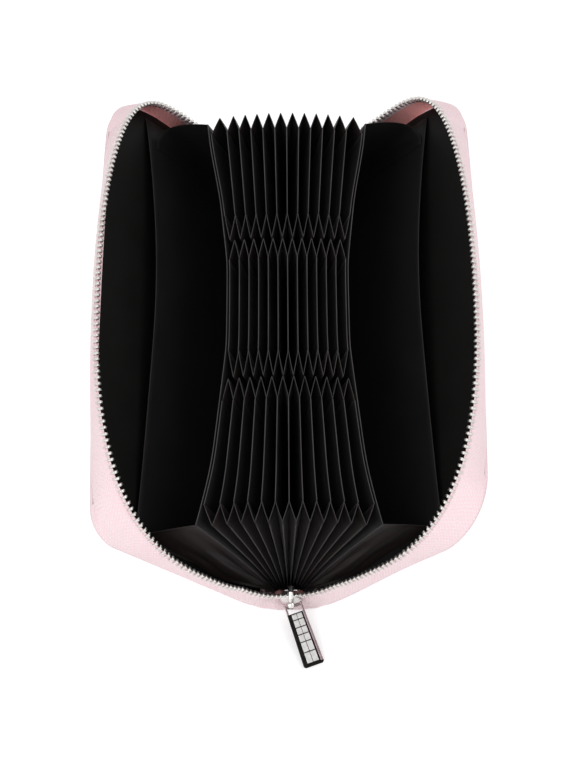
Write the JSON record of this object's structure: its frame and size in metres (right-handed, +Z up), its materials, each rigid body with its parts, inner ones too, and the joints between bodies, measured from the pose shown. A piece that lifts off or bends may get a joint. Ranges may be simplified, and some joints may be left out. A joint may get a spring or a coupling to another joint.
{
  "type": "zip-around accordion card wallet",
  "caption": "Long zip-around wallet standing open on its spine, with an accordion of card pockets, side note compartments, a metal zip and a hinged pull.",
  "frame": {"origin": "middle of the spine's underside, where the wallet stands", "axes": "+Z up from the spine, +Y along the spine to the far end, -Y to the slider, +X to the back cover"},
  "size_m": [0.1506, 0.2327, 0.0956],
  "materials": {
    "pink_leather": "cross-grained",
    "board": "plain",
    "black_lining": "satin weave",
    "black_satin": "satin",
    "divider": "coated cloth",
    "zip_tape": "woven",
    "zip_metal": "satin",
    "chrome": "polished"
  },
  "bodies": {
    "spine": {"spine_skin": "pink_leather", "spine_board": "board", "spine_lining": "black_lining", "binding_strip": "black_lining", "zip_bottom_stop": "zip_metal", "divider_07": "divider"},
    "slider": {"slider_body": "chrome", "slider_bridge": "chrome"},
    "pull": {"pull_frame": "chrome", "pull_tiles": "chrome"},
    "front_cover": {"front_cover_skin": "pink_leather", "front_cover_board": "board", "front_cover_lining": "black_lining", "front_slip_pocket": "black_lining", "front_zip_band": "pink_leather", "front_zip_tape": "zip_tape", "front_zip_teeth": "zip_metal", "front_zip_top_stop": "zip_metal", "front_near_side_gusset": "black_satin", "front_far_side_gusset": "black_satin"},
    "back_cover": {"back_cover_skin": "pink_leather", "back_cover_board": "board", "back_cover_lining": "black_lining", "back_slip_pocket": "black_lining", "back_zip_band": "pink_leather", "back_zip_tape": "zip_tape", "back_zip_teeth": "zip_metal", "back_zip_top_stop": "zip_metal", "back_near_side_gusset": "black_satin", "back_far_side_gusset": "black_satin"},
    "leaf_06": {"divider_06": "divider", "pocket_gussets_06": "black_satin"},
    "leaf_05": {"divider_05": "divider", "pocket_gussets_05": "black_satin"},
    "leaf_04": {"divider_04": "divider", "pocket_gussets_04": "black_satin"},
    "leaf_03": {"divider_03": "divider", "pocket_gussets_03": "black_satin"},
    "leaf_02": {"divider_02": "divider", "pocket_gussets_02": "black_satin"},
    "leaf_01": {"divider_01": "divider", "pocket_gussets_01": "black_satin"},
    "leaf_08": {"divider_08": "divider", "pocket_gussets_07": "black_satin"},
    "leaf_09": {"divider_09": "divider", "pocket_gussets_08": "black_satin"},
    "leaf_10": {"divider_10": "divider", "pocket_gussets_09": "black_satin"},
    "leaf_11": {"divider_11": "divider", "pocket_gussets_10": "black_satin"},
    "leaf_12": {"divider_12": "divider", "pocket_gussets_11": "black_satin"},
    "leaf_13": {"divider_13": "divider", "pocket_gussets_12": "black_satin"}
  },
  "joints": [
    {"name": "front_cover_swing", "type": "hinge", "parent": "spine", "child": "front_cover", "pos_m": [-0.012, 0, 0.0012], "axis": [0, 1, 0], "range_deg": [0, 38], "deforming": ["front_near_side_gusset", "front_far_side_gusset"]},
    {"name": "back_cover_swing", "type": "hinge", "parent": "spine", "child": "back_cover", "pos_m": [0.012, 0, 0.0012], "axis": [0, -1, 0], "range_deg": [0, 38], "deforming": ["back_near_side_gusset", "back_far_side_gusset"]},
    {"name": "leaf_06_fold", "type": "hinge", "parent": "spine", "child": "leaf_06", "pos_m": [-0.001, 0, 0.0035], "axis": [0, 1, 0], "range_deg": [0, 2.6], "deforming": ["pocket_gussets_06"]},
    {"name": "leaf_05_fold", "type": "hinge", "parent": "leaf_06", "child": "leaf_05", "pos_m": [-0.002, 0, 0.0035], "axis": [0, 1, 0], "range_deg": [0, 2.6], "deforming": ["pocket_gussets_05"]},
    {"name": "leaf_04_fold", "type": "hinge", "parent": "leaf_05", "child": "leaf_04", "pos_m": [-0.003, 0, 0.0035], "axis": [0, 1, 0], "range_deg": [0, 2.6], "deforming": ["pocket_gussets_04"]},
    {"name": "leaf_03_fold", "type": "hinge", "parent": "leaf_04", "child": "leaf_03", "pos_m": [-0.004, 0, 0.0035], "axis": [0, 1, 0], "range_deg": [0, 2.6], "deforming": ["pocket_gussets_03"]},
    {"name": "leaf_02_fold", "type": "hinge", "parent": "leaf_03", "child": "leaf_02", "pos_m": [-0.005, 0, 0.0035], "axis": [0, 1, 0], "range_deg": [0, 2.6], "deforming": ["pocket_gussets_02"]},
    {"name": "leaf_01_fold", "type": "hinge", "parent": "leaf_02", "child": "leaf_01", "pos_m": [-0.006, 0, 0.0035], "axis": [0, 1, 0], "range_deg": [0, 2.6], "deforming": ["pocket_gussets_01"]},
    {"name": "leaf_08_fold", "type": "hinge", "parent": "spine", "child": "leaf_08", "pos_m": [0.001, 0, 0.0035], "axis": [0, -1, 0], "range_deg": [0, 2.6], "deforming": ["pocket_gussets_07"]},
    {"name": "leaf_09_fold", "type": "hinge", "parent": "leaf_08", "child": "leaf_09", "pos_m": [0.002, 0, 0.0035], "axis": [0, -1, 0], "range_deg": [0, 2.6], "deforming": ["pocket_gussets_08"]},
    {"name": "leaf_10_fold", "type": "hinge", "parent": "leaf_09", "child": "leaf_10", "pos_m": [0.003, 0, 0.0035], "axis": [0, -1, 0], "range_deg": [0, 2.6], "deforming": ["pocket_gussets_09"]},
    {"name": "leaf_11_fold", "type": "hinge", "parent": "leaf_10", "child": "leaf_11", "pos_m": [0.004, 0, 0.0035], "axis": [0, -1, 0], "range_deg": [0, 2.6], "deforming": ["pocket_gussets_10"]},
    {"name": "leaf_12_fold", "type": "hinge", "parent": "leaf_11", "child": "leaf_12", "pos_m": [0.005, 0, 0.0035], "axis": [0, -1, 0], "range_deg": [0, 2.6], "deforming": ["pocket_gussets_11"]},
    {"name": "leaf_13_fold", "type": "hinge", "parent": "leaf_12", "child": "leaf_13", "pos_m": [0.006, 0, 0.0035], "axis": [0, -1, 0], "range_deg": [0, 2.6], "deforming": ["pocket_gussets_12"]},
    {"name": "zip_slider_travel", "type": "slide", "parent": "spine", "child": "slider", "axis": [0, 0, 1], "range_m": [0, 0.0661]},
    {"name": "pull_swing", "type": "hinge", "parent": "slider", "child": "pull", "pos_m": [0, -0.1047, 0.0073], "axis": [-0.9272, -0.3746, 0], "range_deg": [0, 90]}
  ],
  "couplings": [
    {"joint": "back_cover_swing", "follows": "front_cover_swing", "ratio": 1},
    {"joint": "leaf_06_fold", "follows": "front_cover_swing", "ratio": 0.068246},
    {"joint": "leaf_05_fold", "follows": "front_cover_swing", "ratio": 0.068246},
    {"joint": "leaf_04_fold", "follows": "front_cover_swing", "ratio": 0.068246},
    {"joint": "leaf_03_fold", "follows": "front_cover_swing", "ratio": 0.068246},
    {"joint": "leaf_02_fold", "follows": "front_cover_swing", "ratio": 0.068246},
    {"joint": "leaf_01_fold", "follows": "front_cover_swing", "ratio": 0.068246},
    {"joint": "leaf_08_fold", "follows": "front_cover_swing", "ratio": 0.068246},
    {"joint": "leaf_09_fold", "follows": "front_cover_swing", "ratio": 0.068246},
    {"joint": "leaf_10_fold", "follows": "front_cover_swing", "ratio": 0.068246},
    {"joint": "leaf_11_fold", "follows": "front_cover_swing", "ratio": 0.068246},
    {"joint": "leaf_12_fold", "follows": "front_cover_swing", "ratio": 0.068246},
    {"joint": "leaf_13_fold", "follows": "front_cover_swing", "ratio": 0.068246},
    {"joint": "zip_slider_travel", "follows": "front_cover_swing", "m_per_rad": 0.099514}
  ]
}
